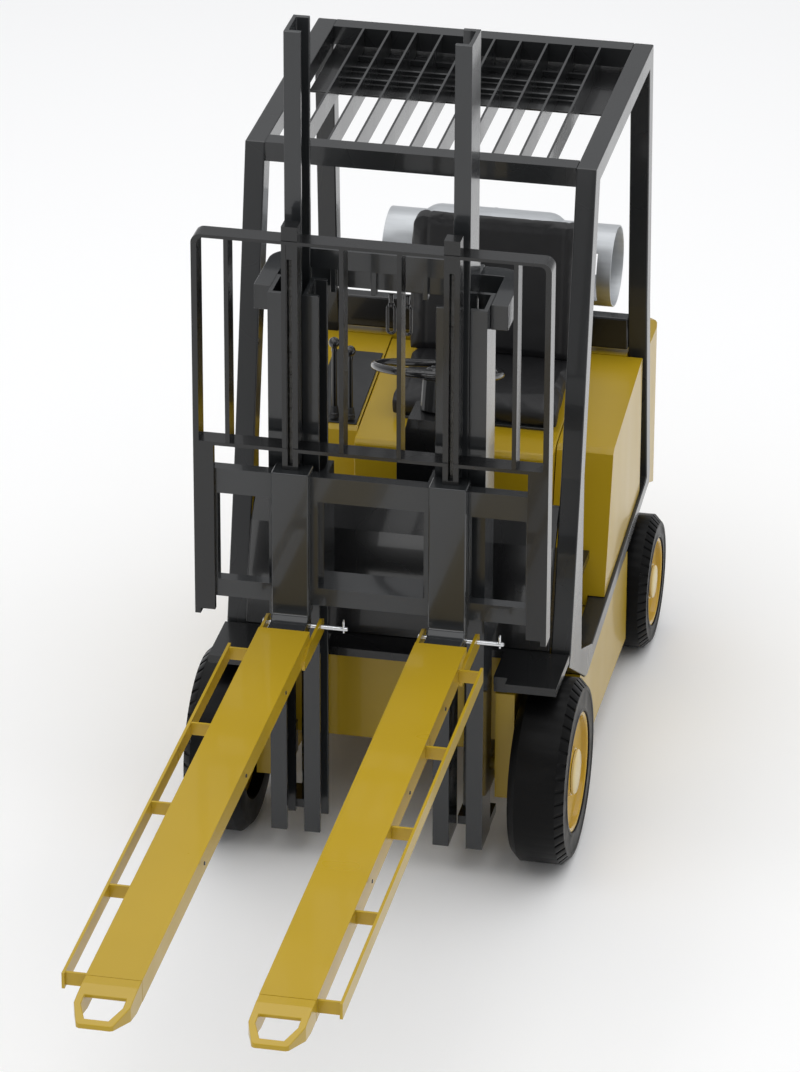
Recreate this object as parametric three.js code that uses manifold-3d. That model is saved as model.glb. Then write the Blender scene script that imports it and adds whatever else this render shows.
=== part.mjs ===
// Counterbalanced forklift truck with a three-stage mast, a raised carriage and fork extension sleeves.
// Millimetres, +Z up, +Y to the rear of the truck, +X to the driver's left.
// Geometry is written in the truck frame, whose origin is on the ground under the front axle.
import * as THREE from 'three';
import { mergeVertices } from 'three/addons/utils/BufferGeometryUtils.js';
import Module from 'manifold-3d';

const wasm = await Module();
wasm.setup();

// ---------------------------------------------------------------- clearances
const GAP = 0.3;                  // between seated pieces
const CLEAR = 3;                  // between neighbours that stand apart
const SLIDE = 1;                  // between pieces that slide in one another
const FAR = 3000;                 // beyond the truck on every side, for cutting boxes

// ---------------------------------------------------------------- wheels and steering
const WHEELBASE = 1408;
const FRONT_WHEEL = { r: 280.5, rim: 183, inner: 405, width: 170, y: 0 };
const KINGPIN_X = 390;
const KINGPIN_R = 34;
const KINGPIN_OFFSET = 44;        // from the kingpin's axis to the wheel's inner face
const REAR_WHEEL = { r: 215, rim: 142.5, inner: KINGPIN_X + KINGPIN_OFFSET, width: 140, y: WHEELBASE };
const TYRE_EDGE = 14;
const RIM_DEPTH = 35;             // from a tyre's inner face to the back of its rim
const FRONT_STUB_R = 45;
const REAR_STUB_R = 28;

// ---------------------------------------------------------------- chassis
const FLOOR_THICK = 26;
const FLOOR_TOP = 2 * FRONT_WHEEL.r + 34 + FLOOR_THICK;
const FLOOR_BOTTOM = FLOOR_TOP - FLOOR_THICK;
const FLOOR_REAR = 785;
const CHASSIS_BOTTOM = 132;
const STEP_TOP = 440;             // top of the side steps
const PLATE = 20;                 // hull plate

const GUARD_HALF = 525;           // outside of the overhead guard
const GUARD_BAR = 60;             // width of the guard's bars
const GUARD_IN = GUARD_HALF - GUARD_BAR;
const GUARD_TOP = 2054;
const ROOF_Y0 = 405;
const ROOF_LENGTH = 1002;
const ROOF_Y1 = ROOF_Y0 + ROOF_LENGTH;
const LEG_Y = 113;                // foot of the front legs
const BELT_Z = 1132;              // where the front legs change their lean
const SILL = { y: FRONT_WHEEL.r + 140.5, z: 387, rearZ: 2 * REAR_WHEEL.r + 76 };
const SLATS = 10;
const SLAT_PITCH = 82;
const SLAT_THICK = 7;
const SLAT_DEPTH = 70;

const BONNET_X0 = -285;
const BONNET_X1 = 335;
const BONNET_Y0 = FLOOR_REAR + 27;
const BONNET_Y1 = WHEELBASE - 23;
const SHELL = 8;                  // wall of the bonnet and the side covers
const COVER_X = GUARD_HALF - 10;
const COVER_Y1 = WHEELBASE - 10;
const DECK_Z = 921;               // bonnet and side covers: height at DECK_Y, then rising to the rear
const DECK_Y = BONNET_Y0 + 64;
const DECK_SLOPE = 0.1512;
const CONSOLE_PAD = 5;

const WEIGHT_Y0 = WHEELBASE - 3;  // counterweight
const WEIGHT_Y1 = WHEELBASE + 392;
const WEIGHT_HALF = GUARD_HALF - 5;
const WEIGHT_BOTTOM = 2 * REAR_WHEEL.r + 59;
const CRADLE_PLATE = 6;

// ---------------------------------------------------------------- driver's place
const SEAT_WIDTH = 539;
const SEAT_DEPTH = 410;
const SEAT_HEIGHT = 483;          // from the deck to the top of the backrest
const SEAT_PLATE = 9;
const STEERING = { x: 20, y: 600, z: 1275, r: 190, bar: 15 };
const COLUMN_TILT = 20 * Math.PI / 180;
const PEDESTAL = { x0: -80, x1: 120, y0: 470, y1: 600, wall: 8 };
const LEVER_Y = BONNET_Y0 + 93;
const LEVER_R = 6;
const KNOB_R = 17.5;
const LEVERS = [{ x: BONNET_X0 - 82, height: 264.6 }, { x: BONNET_X0 - 32, height: 240.6 }];

// ---------------------------------------------------------------- mast
const RAIL_WIDTH = 49;
const RAIL_DEPTH = 130;
const RAIL_WEB = 12;
const RAIL_FLANGE = 14;
const RAIL_REAR = -69;
const RAIL_FRONT = RAIL_REAR - RAIL_DEPTH;
const INNER_X = 220;              // outside faces of the three nested rail pairs
const MIDDLE_X = INNER_X + RAIL_WIDTH + 1;
const OUTER_X = MIDDLE_X + RAIL_WIDTH + 2;
const RAIL_Z0 = 93;
const RAIL_LENGTH = 1757;
const RAIL_TOP = RAIL_Z0 + RAIL_LENGTH;
const MIDDLE_LIFT = 806;          // how far the middle stage is run out
const PIVOT_Z = FRONT_WHEEL.r;
const PIVOT_R = 19.6;
const YOKE_DEPTH = 78;
const YOKE_SIDE = 51;             // width of the yoke beside the rails
const OUTER_TIE = { y: RAIL_REAR + 101, thick: 24, z: 735, height: 60 };
const ROD = { x: MIDDLE_X - RAIL_WIDTH / 2 + 2, y: RAIL_REAR + 71, r: 14, foot: 128, bottom: 140 };
const BARREL_WALL = 6;
const ROD_END = ROD.bottom + MIDDLE_LIFT + 4;
const BARREL_TOP = ROD_END + 50;
const MIDDLE_TIE_Z = RAIL_TOP + 20;
const INNER_TIE_Z = 1140;
const TIE_HEIGHT = 60;

// ---------------------------------------------------------------- carriage and backrest
const CARRIAGE_THICK = 38;
const CARRIAGE_REAR = RAIL_FRONT - 40.5;
const CARRIAGE_Y = CARRIAGE_REAR - CARRIAGE_THICK;
const CARRIAGE_HALF = 503;
const LOWER = { z0: 900, z1: 956 };
const UPPER = { z0: 1235, z1: 1314 };
const ROLLER_R = RAIL_DEPTH / 2 - RAIL_FLANGE - 1.5;
const BACKREST_HALF = CARRIAGE_HALF + 19;
const BACKREST_TOP = 2056;
const BACKREST_Y0 = CARRIAGE_Y - 17.5;
const BACKREST_Y1 = CARRIAGE_REAR + 6.5;
const BACKREST_Z0 = LOWER.z0 - 54;
const BAR_PITCH = 168;
const BAR_WIDTH = 13;
const CHAIN_X = 235.5;            // centre line of the slotted chain guides
const CHAIN_GUIDE = 47;
const CHAIN_SLOT = 15;

// ---------------------------------------------------------------- forks, sleeves and pins
const FORK_X = 232;               // centre line of each fork and sleeve
const FORK_WIDTH = 110;
const FORK_THICK = 40;
const FORK_REACH = 1481.5;
const FORK_TOP = UPPER.z1 + 23;
const SHANK_BACK = CARRIAGE_Y - SLIDE;
const SHANK_FRONT = SHANK_BACK - FORK_THICK;
const FORK_TIP = SHANK_FRONT - FORK_REACH;
const SLEEVE_WALL = 6;
const SLEEVE_LENGTH = 2010;
const SLEEVE_HALF = FORK_WIDTH / 2 + 15 + SLEEVE_WALL;
const SLEEVE_TOP = LOWER.z0 - 27;
const BLADE_TOP = SLEEVE_TOP - SLEEVE_WALL - SLIDE;
const BLADE_BOTTOM = BLADE_TOP - FORK_THICK;
const SLEEVE_BOTTOM = BLADE_BOTTOM - 17;
const SLEEVE_Y0 = SHANK_FRONT - 77.5;
const SLEEVE_Y1 = SLEEVE_Y0 - SLEEVE_LENGTH;
const TIP_LENGTH = 213;
const NOSE_Y = SLEEVE_Y1 - TIP_LENGTH;
const EAR = 9;
const SIDE_RAIL = { outer: SLEEVE_HALF + 68, thick: 8, y0: SLEEVE_Y0 - 98, y1: SLEEVE_Y1 + 8, z0: 818,
  z1: 864 };
const RUNGS = 5;
const PIN_R = 6.5;
const PIN_Y = SHANK_BACK + PIN_R + 0.5;
const PIN_Z = BLADE_BOTTOM + 1;

// ---------------------------------------------------------------- gas cylinder
const TANK_R = 153;
const TANK_Y = WHEELBASE + 338;
const TANK_X0 = -292;             // ends of the cylinder's body
const TANK_X1 = 226;
const TANK_END = 370;             // ends of the collar and the foot ring
const TANK_WALL = 5;
const COLLAR_WALL = 6;

const SHIFT_Y = -(NOSE_Y + TANK_Y + TANK_R) / 2;

// ---------------------------------------------------------------- materials
const paint = (color, roughness, metalness) => new THREE.MeshStandardMaterial({ color, roughness,
  metalness });
const yellow = () => paint(0xbb9e20, 0.45, 0.0);
const black = () => paint(0x1b1b1d, 0.4, 0.0);
const mastGrey = () => paint(0x333436, 0.45, 0.1);
const guardGrey = () => paint(0x46474b, 0.45, 0.1);
const steel = () => paint(0xc8ccd0, 0.25, 1.0);
const silver = () => paint(0xb9bec3, 0.4, 0.6);
const rubber = () => paint(0x0d0d0e, 0.5, 0.0);
const rimPaint = () => paint(0xd9a81c, 0.4, 0.0);
const vinyl = () => paint(0x1e1f22, 0.6, 0.0);

// ---------------------------------------------------------------- solids
function solid(geometry) {
  const bare = geometry.clone();
  bare.deleteAttribute('normal');
  bare.deleteAttribute('uv');
  const merged = mergeVertices(bare, 1e-4);
  return new wasm.Manifold(new wasm.Mesh({
    numProp: 3,
    vertProperties: new Float32Array(merged.attributes.position.array),
    triVerts: new Uint32Array(merged.index.array),
  }));
}

function geometryOf(body) {
  const mesh = body.getMesh();
  const geometry = new THREE.BufferGeometry();
  geometry.setAttribute('position', new THREE.BufferAttribute(new Float32Array(mesh.vertProperties), 3));
  geometry.setIndex(new THREE.BufferAttribute(new Uint32Array(mesh.triVerts), 1));
  geometry.computeVertexNormals();
  return geometry;
}

const join = (...bodies) => bodies.reduce((a, b) => a.add(b));
const cut = (body, ...tools) => tools.reduce((a, b) => a.subtract(b), body);
const mirrored = (body) => body.mirror([1, 0, 0]);
const both = (body) => [body, mirrored(body)];

function box(x0, x1, y0, y1, z0, z1) {
  const geometry = new THREE.BoxGeometry(x1 - x0, y1 - y0, z1 - z0);
  geometry.translate((x0 + x1) / 2, (y0 + y1) / 2, (z0 + z1) / 2);
  return solid(geometry);
}

function shapeOf(points) {
  const shape = new THREE.Shape();
  points.forEach(([a, b], i) => (i ? shape.lineTo(a, b) : shape.moveTo(a, b)));
  shape.closePath();
  return shape;
}

// the outline moved outwards by d, or inwards where d is negative
function offset(points, d) {
  const n = points.length;
  const area = points.reduce((sum, [a, b], i) => {
    const [c, e] = points[(i + 1) % n];
    return sum + a * e - c * b;
  }, 0);
  const turn = Math.sign(area);
  return points.map(([a, b], i) => {
    const [a0, b0] = points[(i + n - 1) % n];
    const [a1, b1] = points[(i + 1) % n];
    const u = new THREE.Vector2(a - a0, b - b0).normalize();
    const v = new THREE.Vector2(a1 - a, b1 - b).normalize();
    const nu = new THREE.Vector2(u.y, -u.x);
    const nv = new THREE.Vector2(v.y, -v.x);
    const k = turn * d / (1 + nu.dot(nv));
    return [a + (nu.x + nv.x) * k, b + (nu.y + nv.y) * k];
  });
}

function extrude(shape, depth, curveSegments = 6) {
  const outline = shape instanceof THREE.Shape ? shape : shapeOf(shape);
  return new THREE.ExtrudeGeometry(outline, { depth, bevelEnabled: false, curveSegments });
}

// outline in (y, z), extruded from x0 to x1
function slabX(shape, x0, x1, curveSegments) {
  const geometry = extrude(shape, x1 - x0, curveSegments);
  geometry.applyMatrix4(new THREE.Matrix4().set(0, 0, 1, x0, 1, 0, 0, 0, 0, 1, 0, 0, 0, 0, 0, 1));
  return solid(geometry);
}

// outline in (x, y), extruded from z0 to z1
function slabZ(shape, z0, z1, curveSegments) {
  const geometry = extrude(shape, z1 - z0, curveSegments);
  geometry.translate(0, 0, z0);
  return solid(geometry);
}

// outline in (x, z), extruded from y0 to y1
function slabY(shape, y0, y1, curveSegments) {
  const geometry = extrude(shape, y1 - y0, curveSegments);
  geometry.applyMatrix4(new THREE.Matrix4().set(1, 0, 0, 0, 0, 0, -1, y1, 0, 1, 0, 0, 0, 0, 0, 1));
  return solid(geometry);
}

function rodX(r, x0, x1, y, z, segments = 24) {
  const geometry = new THREE.CylinderGeometry(r, r, x1 - x0, segments);
  geometry.rotateZ(Math.PI / 2);
  geometry.translate((x0 + x1) / 2, y, z);
  return solid(geometry);
}

function rodZ(r, x, y, z0, z1, segments = 24) {
  const geometry = new THREE.CylinderGeometry(r, r, z1 - z0, segments);
  geometry.rotateX(Math.PI / 2);
  geometry.translate(x, y, (z0 + z1) / 2);
  return solid(geometry);
}

// turned about the x axis at (y, z); profile is a list of (radius, x)
function turnedX(profile, y, z, segments = 36) {
  const geometry = new THREE.LatheGeometry(profile.map(([r, x]) => new THREE.Vector2(r, x)), segments);
  geometry.rotateZ(-Math.PI / 2);
  geometry.translate(0, y, z);
  return solid(geometry);
}

function roundedRect(x0, x1, y0, y1, r) {
  const shape = new THREE.Shape();
  shape.moveTo(x0 + r, y0);
  shape.lineTo(x1 - r, y0);
  shape.absarc(x1 - r, y0 + r, r, -Math.PI / 2, 0, false);
  shape.lineTo(x1, y1 - r);
  shape.absarc(x1 - r, y1 - r, r, 0, Math.PI / 2, false);
  shape.lineTo(x0 + r, y1);
  shape.absarc(x0 + r, y1 - r, r, Math.PI / 2, Math.PI, false);
  shape.lineTo(x0, y0 + r);
  shape.absarc(x0 + r, y0 + r, r, Math.PI, 1.5 * Math.PI, false);
  return shape;
}

const deck = (y) => DECK_Z + DECK_SLOPE * (y - DECK_Y);
const onDeck = (y, h) => [y, deck(y) + h];

const truck = new THREE.Group();
truck.position.set(0, SHIFT_Y, 0);

function put(name, body, material) {
  const mesh = new THREE.Mesh(geometryOf(body), material);
  mesh.name = name;
  truck.add(mesh);
}

function putPair(name, body, material) {
  put(`${name}_left`, body, material());
  put(`${name}_right`, mirrored(body), material());
}

// ---------------------------------------------------------------- overhead guard
const LEG_BELT_Z = BELT_Z + 41;   // where the rear legs change their lean
const guardOuter = [[ROOF_Y0, GUARD_TOP], [LEG_Y + 121, BELT_Z], [LEG_Y, FLOOR_TOP - 14],
  [LEG_Y - 19, FLOOR_TOP - 43],
  [SILL.y - 28, SILL.z + 6], [SILL.y, SILL.z], [WHEELBASE + 120, SILL.rearZ],
    [WHEELBASE + 131, SILL.rearZ + 38],
  [WHEELBASE + 54, LEG_BELT_Z], [ROOF_Y1, GUARD_TOP]];
const guardWindow = [[ROOF_Y0 + 69, GUARD_TOP - GUARD_BAR], [LEG_Y + 187, BELT_Z],
  [LEG_Y + 187, FLOOR_TOP + 50],
  [LEG_Y + 191, FLOOR_TOP - 89], [SILL.y + 81, SILL.z + 63], [WHEELBASE + 47, SILL.rearZ + 32],
  [WHEELBASE + 71, SILL.rearZ + 42], [WHEELBASE - 6, LEG_BELT_Z],
    [ROOF_Y1 - GUARD_BAR, GUARD_TOP - GUARD_BAR]];
const guardOutline = shapeOf(guardOuter);
guardOutline.holes.push(new THREE.Path(guardWindow.map(([a, b]) => new THREE.Vector2(a, b))));
const wheelArch = rodX(FRONT_WHEEL.r + PLATE, -FAR, FAR, FRONT_WHEEL.y, FRONT_WHEEL.r, 72);
putPair('guard_side', cut(slabX(guardOutline, GUARD_IN, GUARD_HALF), wheelArch), guardGrey);
// the room that the guard's sides take, with their clearance
const guardRoom = both(slabX(offset(guardOuter, CLEAR), GUARD_IN - CLEAR, FAR));

const roofIn = GUARD_IN - GAP;
const slatBottom = GUARD_TOP - SLAT_DEPTH;
const slatSpan = (SLATS - 1) * SLAT_PITCH / 2;
let roof = join(
  box(-roofIn, roofIn, ROOF_Y0 + 1, ROOF_Y0 + GUARD_BAR, GUARD_TOP - GUARD_BAR, GUARD_TOP),
  box(-roofIn, roofIn, ROOF_Y1 - GUARD_BAR, ROOF_Y1 - 1, GUARD_TOP - GUARD_BAR, GUARD_TOP),
);
for (let i = 0; i < SLATS; i += 1) {
  const x = i * SLAT_PITCH - slatSpan;
  roof = roof.add(box(x - SLAT_THICK / 2, x + SLAT_THICK / 2,
    ROOF_Y0 + GUARD_BAR - 2, ROOF_Y1 - GUARD_BAR + 2, slatBottom, GUARD_TOP));
}
for (const back of [152, 242, 332]) {
  roof = roof.add(box(-slatSpan, slatSpan, ROOF_Y1 - back - 5, ROOF_Y1 - back + 5, slatBottom + 4,
    slatBottom + 16));
}
put('guard_roof_grille', roof, guardGrey());
const roofUnder = Math.min(slatBottom, GUARD_TOP - GUARD_BAR);
const panelBottom = roofUnder - 7;
put('guard_roof_panel',
  box(-roofIn + CLEAR, roofIn - CLEAR, ROOF_Y1 - 417, ROOF_Y1 - 4, panelBottom, roofUnder - GAP), black());
const weightTop = deck(COVER_Y1);
put('guard_rear_crossbar', box(-roofIn, roofIn, WHEELBASE + 4, WHEELBASE + 52, weightTop + 16,
  weightTop + 122), black());

// ---------------------------------------------------------------- hull
const HULL_HALF = OUTER_X + 4;
const hullFront = RAIL_REAR + 169;
const hullTop = FLOOR_BOTTOM - 1;
const wheelReach = REAR_WHEEL.width + KINGPIN_OFFSET;
const steerRoom = rodZ(Math.hypot(REAR_WHEEL.r, wheelReach), KINGPIN_X, WHEELBASE, 0, FLOOR_BOTTOM, 48);
const stepRear = WHEELBASE - REAR_WHEEL.r - 28;
const spine = slabX([[hullFront, CHASSIS_BOTTOM + 138], [hullFront + 230, CHASSIS_BOTTOM],
  [stepRear, CHASSIS_BOTTOM],
  [stepRear + 135, CHASSIS_BOTTOM + 58], [WHEELBASE + 232, CHASSIS_BOTTOM + 68],
    [WHEELBASE + 232, WEIGHT_BOTTOM - CLEAR],
  [COVER_Y1, WEIGHT_BOTTOM - CLEAR], [COVER_Y1, hullTop], [hullFront, hullTop]], -HULL_HALF, HULL_HALF);
const steps = cut(box(-WEIGHT_HALF, WEIGHT_HALF, FRONT_WHEEL.r + 37.5, stepRear, CHASSIS_BOTTOM,
  STEP_TOP), ...both(steerRoom));

// cheeks beside the mast carry the front stub axles and the mast's pivot pins
const cheekOut = FRONT_WHEEL.inner - 13;
const cheekFrom = OUTER_X + 14;
const cheekOutline = [[RAIL_REAR - 9, PIVOT_Z - 70.5], [RAIL_REAR + 49, PIVOT_Z - 80.5],
  [hullFront + 240, CHASSIS_BOTTOM + 18],
  [hullFront + 240, hullTop], [RAIL_REAR + 21, hullTop], [RAIL_REAR + 19, hullTop - 26],
    [RAIL_REAR - 9, hullTop - 34]];
const cheek = cut(slabX(cheekOutline, HULL_HALF - 5, cheekOut),
  box(0, cheekFrom, -FAR, hullFront - 0.1, 0, FAR));
const stubs = join(rodX(PIVOT_R, OUTER_X - 29, cheekFrom + 5, 0, PIVOT_Z),
  rodX(FRONT_STUB_R, cheekOut - 4, FRONT_WHEEL.inner + RIM_DEPTH, FRONT_WHEEL.y, FRONT_WHEEL.r));

// open spaces: engine bay from above, the rest from below
const bayRear = BONNET_Y1 - 40;
const engineBay = box(BONNET_X0 + 15, BONNET_X1 - 35, BONNET_Y0 + 48, bayRear, CHASSIS_BOTTOM + PLATE, FAR);
const frontBay = box(PLATE - HULL_HALF, HULL_HALF - PLATE, hullFront + PLATE + 10, BONNET_Y0 + 28, 0,
  hullTop - PLATE);
const rearBay = box(PLATE - HULL_HALF, HULL_HALF - PLATE, bayRear + PLATE, WHEELBASE + 212, 0,
  WEIGHT_BOTTOM - CLEAR - PLATE);
const stepBay = join(
  box(HULL_HALF + PLATE, GUARD_IN - CLEAR - 10, FRONT_WHEEL.r + 60, stepRear - 60, 0, STEP_TOP - PLATE),
  box(GUARD_IN - CLEAR - 11, WEIGHT_HALF - PLATE, FRONT_WHEEL.r + 60, stepRear - 60, 0,
    SILL.z - CLEAR - PLATE),
);
const rearBeam = box(12 - KINGPIN_X, KINGPIN_X - 12, WHEELBASE - 30, WHEELBASE + 30, CHASSIS_BOTTOM + 38,
  CHASSIS_BOTTOM + 130);
const kingpinRoom = rodZ(KINGPIN_R + 2 * GAP, KINGPIN_X, WHEELBASE, 0, FLOOR_BOTTOM);
let hull = join(spine, steps, ...both(cheek), ...both(stubs));
hull = cut(hull, ...guardRoom, engineBay, frontBay, rearBay, ...both(stepBay));
const stubRoom = rodX(REAR_STUB_R + CLEAR, KINGPIN_X, FAR, WHEELBASE, REAR_WHEEL.r);
put('hull', cut(join(hull, rearBeam), ...both(kingpinRoom), ...both(stubRoom)), yellow());

const knuckle = join(rodZ(KINGPIN_R, KINGPIN_X, WHEELBASE, CHASSIS_BOTTOM + 33, CHASSIS_BOTTOM + 135),
  rodX(REAR_STUB_R, KINGPIN_X, REAR_WHEEL.inner + RIM_DEPTH - 1, WHEELBASE, REAR_WHEEL.r));
putPair('rear_knuckle', knuckle, mastGrey);

// ---------------------------------------------------------------- counterweight and gas cylinder
const weightPlan = new THREE.Shape();
weightPlan.moveTo(-WEIGHT_HALF, WEIGHT_Y0);
weightPlan.lineTo(WEIGHT_HALF, WEIGHT_Y0);
weightPlan.lineTo(WEIGHT_HALF, WEIGHT_Y1 - 160);
weightPlan.bezierCurveTo(WEIGHT_HALF, WEIGHT_Y1 - 60, WEIGHT_HALF - 120, WEIGHT_Y1, WEIGHT_HALF - 270,
  WEIGHT_Y1);
weightPlan.lineTo(270 - WEIGHT_HALF, WEIGHT_Y1);
weightPlan.bezierCurveTo(120 - WEIGHT_HALF, WEIGHT_Y1, -WEIGHT_HALF, WEIGHT_Y1 - 60, -WEIGHT_HALF,
  WEIGHT_Y1 - 160);
weightPlan.closePath();
const weightSide = new THREE.Shape();
weightSide.moveTo(WEIGHT_Y0 - 105, WEIGHT_BOTTOM);
weightSide.lineTo(WEIGHT_Y1 - 240, WEIGHT_BOTTOM);
weightSide.lineTo(WEIGHT_Y1 - 100, WEIGHT_BOTTOM - 59);
weightSide.lineTo(WEIGHT_Y1 - 30, WEIGHT_BOTTOM - 59);
weightSide.lineTo(WEIGHT_Y1, WEIGHT_BOTTOM + 11);
weightSide.lineTo(WEIGHT_Y1, weightTop - 120);
weightSide.absarc(WEIGHT_Y1 - 110, weightTop - 110, 110, 0, Math.PI / 2, false);
weightSide.lineTo(WEIGHT_Y0 - 105, weightTop);
weightSide.closePath();
const cradleOut = TANK_R + SLIDE + CRADLE_PLATE;
const tankZ = weightTop - 2 + TANK_R;
const tankRoom = rodX(cradleOut + 1, -FAR, FAR, TANK_Y, tankZ, 48);
const hullRearRoom = box(-HULL_HALF - 5, HULL_HALF + 5, 0, WHEELBASE + 232 + 0.4, 0,
  WEIGHT_BOTTOM - CLEAR + 0.4);
const weight = slabZ(weightPlan, 0, FAR, 8).intersect(slabX(weightSide, -FAR, FAR));
put('counterweight', cut(weight, ...guardRoom, tankRoom, hullRearRoom), yellow());

// a bent plate under the gas cylinder
const cradleArc = new THREE.Shape();
const CRADLE_FROM = 1.12 * Math.PI;
const CRADLE_TO = 1.86 * Math.PI;
cradleArc.absarc(TANK_Y, tankZ, cradleOut, CRADLE_FROM, CRADLE_TO, false);
cradleArc.absarc(TANK_Y, tankZ, TANK_R + SLIDE, CRADLE_TO, CRADLE_FROM, true);
cradleArc.closePath();
put('cylinder_cradle', slabX(cradleArc, -180, 180, 20), black());

// domed body and, with wall taken off all round, its hollow, which opens at the valve
const tankProfile = (wall) => [[0, TANK_X0 + wall], [TANK_R - 58, TANK_X0 + 7 + wall],
  [TANK_R - 19 - wall, TANK_X0 + 30 + wall],
  [TANK_R - wall, TANK_X0 + 67], [TANK_R - wall, TANK_X1 - 66], [TANK_R - 19 - wall, TANK_X1 - 30 - wall],
  [TANK_R - 58, TANK_X1 - 7 - wall], [0, TANK_X1 - wall]];
const ringOut = TANK_R - 22;
const ring = (x0, x1) => cut(rodX(ringOut, x0, x1, TANK_Y, tankZ, 40),
  rodX(ringOut - COLLAR_WALL, x0 - 50, x1 + 50, TANK_Y, tankZ, 40));
const tankShell = cut(join(turnedX(tankProfile(0), TANK_Y, tankZ, 40), ring(TANK_X1 - 56, TANK_END),
  ring(-TANK_END, TANK_X0 + 52)),
  turnedX(tankProfile(TANK_WALL), TANK_Y, tankZ, 40), rodX(14, 0, TANK_X1 + 20, TANK_Y, tankZ, 16));
const collarWindow = [-1, 1].map((side) => box(TANK_X1 + 36, TANK_END - 45, TANK_Y + side * 145 - 55,
  TANK_Y + side * 145 + 55,
  tankZ - 55, tankZ + 40));
put('gas_cylinder', cut(tankShell, ...collarWindow), silver());

// ---------------------------------------------------------------- floor, cowl, covers and bonnet
// floor plan: wide wings ahead of the guard's legs, and a notch each side for the mast
const notchOut = OUTER_X + 9;
const notchIn = INNER_X - 24;
const wingOut = notchOut + 42;
const wingRear = LEG_Y - 23;
const notchRear = RAIL_REAR + 147;
const floorHalf = GUARD_IN - CLEAR;
const floorRight = [[notchIn, RAIL_REAR + 64], [notchIn, notchRear], [notchOut, notchRear],
  [notchOut, RAIL_REAR - 21],
  [wingOut, RAIL_REAR - 21], [wingOut, RAIL_REAR - 61], [GUARD_HALF, RAIL_REAR - 61],
    [GUARD_HALF, wingRear],
  [floorHalf, wingRear], [floorHalf, FLOOR_REAR]];
const floorPlan = [...floorRight, ...floorRight.map(([x, y]) => [-x, y]).reverse()];
const wing = box(notchOut + 1, wingOut - 1, RAIL_REAR - 21, RAIL_REAR + 9, FLOOR_TOP - 49, FLOOR_TOP);
const skirtIn = HULL_HALF + 13;
const skirtFront = Math.max(FRONT_WHEEL.r + 64.5, hullFront + 245);
const skirt = box(skirtIn, skirtIn + SHELL, skirtFront, FLOOR_REAR - 41, STEP_TOP + 6, FLOOR_TOP - 5);
// the side covers' outline, seen from the side, and the room they take behind the floor
const coverFoot = WHEELBASE - REAR_WHEEL.r - 5;
const coverOutline = [[FLOOR_REAR - 31, STEP_TOP + 6], [coverFoot, STEP_TOP + 6],
  [coverFoot, 2 * REAR_WHEEL.r + 70],
  [COVER_Y1, 2 * REAR_WHEEL.r + 70], onDeck(COVER_Y1, 0), onDeck(DECK_Y + 18, 0), [DECK_Y, DECK_Z - 12]];
const coverRoom = both(slabX(offset(coverOutline, GAP), 0, FAR));
const floor = join(slabZ(floorPlan, FLOOR_BOTTOM, FLOOR_TOP), ...both(wing), ...both(skirt));
put('floor_plate', cut(floor, ...guardRoom, ...coverRoom), black());

const cowlAt = (back, up) => [LEG_Y + back, FLOOR_TOP + up];
const cowlOutline = [cowlAt(-18, GAP), cowlAt(-3, 139), cowlAt(57, 309), cowlAt(139, 409),
  cowlAt(149, 407), cowlAt(149, 397),
  cowlAt(73, 305), cowlAt(13, 136), cowlAt(-2, GAP)];
put('front_cowl', slabX(cowlOutline, -floorHalf, floorHalf), black());

// side covers beside the bonnet; the one on the driver's right is wider and carries the levers
// the cover's outer shape, or with wall its hollow: beyond floorHalf it stands inside the guard's side
function coverShape(inner, wall) {
  const outline = offset(coverOutline, -wall);
  const inGuard = slabX(offset(guardWindow, -CLEAR - wall), 0, FAR);
  return join(slabX(outline, inner + wall, floorHalf - wall),
    slabX(outline, floorHalf - wall, COVER_X - wall).intersect(inGuard));
}
function sideCover(inner) {
  const hollow = coverShape(inner, SHELL);
  const hullRoom = box(-FAR, HULL_HALF + PLATE, 0, WHEELBASE, 0, FLOOR_TOP + 1);
  return cut(coverShape(inner, 0), hollow, hollow.translate([0, 0, -SHELL - 1]), hullRoom);
}
put('side_cover_left', sideCover(BONNET_X1 + CLEAR), yellow());
put('side_cover_right', mirrored(sideCover(CLEAR - BONNET_X0)), yellow());
const padOutline = [onDeck(BONNET_Y0 + 78, GAP), onDeck(BONNET_Y1 - 95, GAP),
  onDeck(BONNET_Y1 - 95, CONSOLE_PAD),
  onDeck(BONNET_Y0 + 78, CONSOLE_PAD)];
put('console_pad', slabX(padOutline, 65 - COVER_X, BONNET_X0 - 9), vinyl());

const bonnetFoot = FLOOR_TOP - 20;
const bonnetOuter = [[BONNET_Y0, bonnetFoot], [BONNET_Y1, bonnetFoot], onDeck(BONNET_Y1, 0),
  onDeck(BONNET_Y0 + 12, 0),
  onDeck(BONNET_Y0, -12)];
const bonnetHollow = offset(bonnetOuter, -SHELL);
const bonnet = cut(slabX(bonnetOuter, BONNET_X0, BONNET_X1),
  slabX(bonnetHollow, BONNET_X0 + SHELL, BONNET_X1 - SHELL),
  box(BONNET_X0 + SHELL, BONNET_X1 - SHELL, BONNET_Y0 + SHELL, BONNET_Y1 - SHELL, 0,
    bonnetFoot + SHELL + 1));
put('bonnet', bonnet, yellow());

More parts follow.
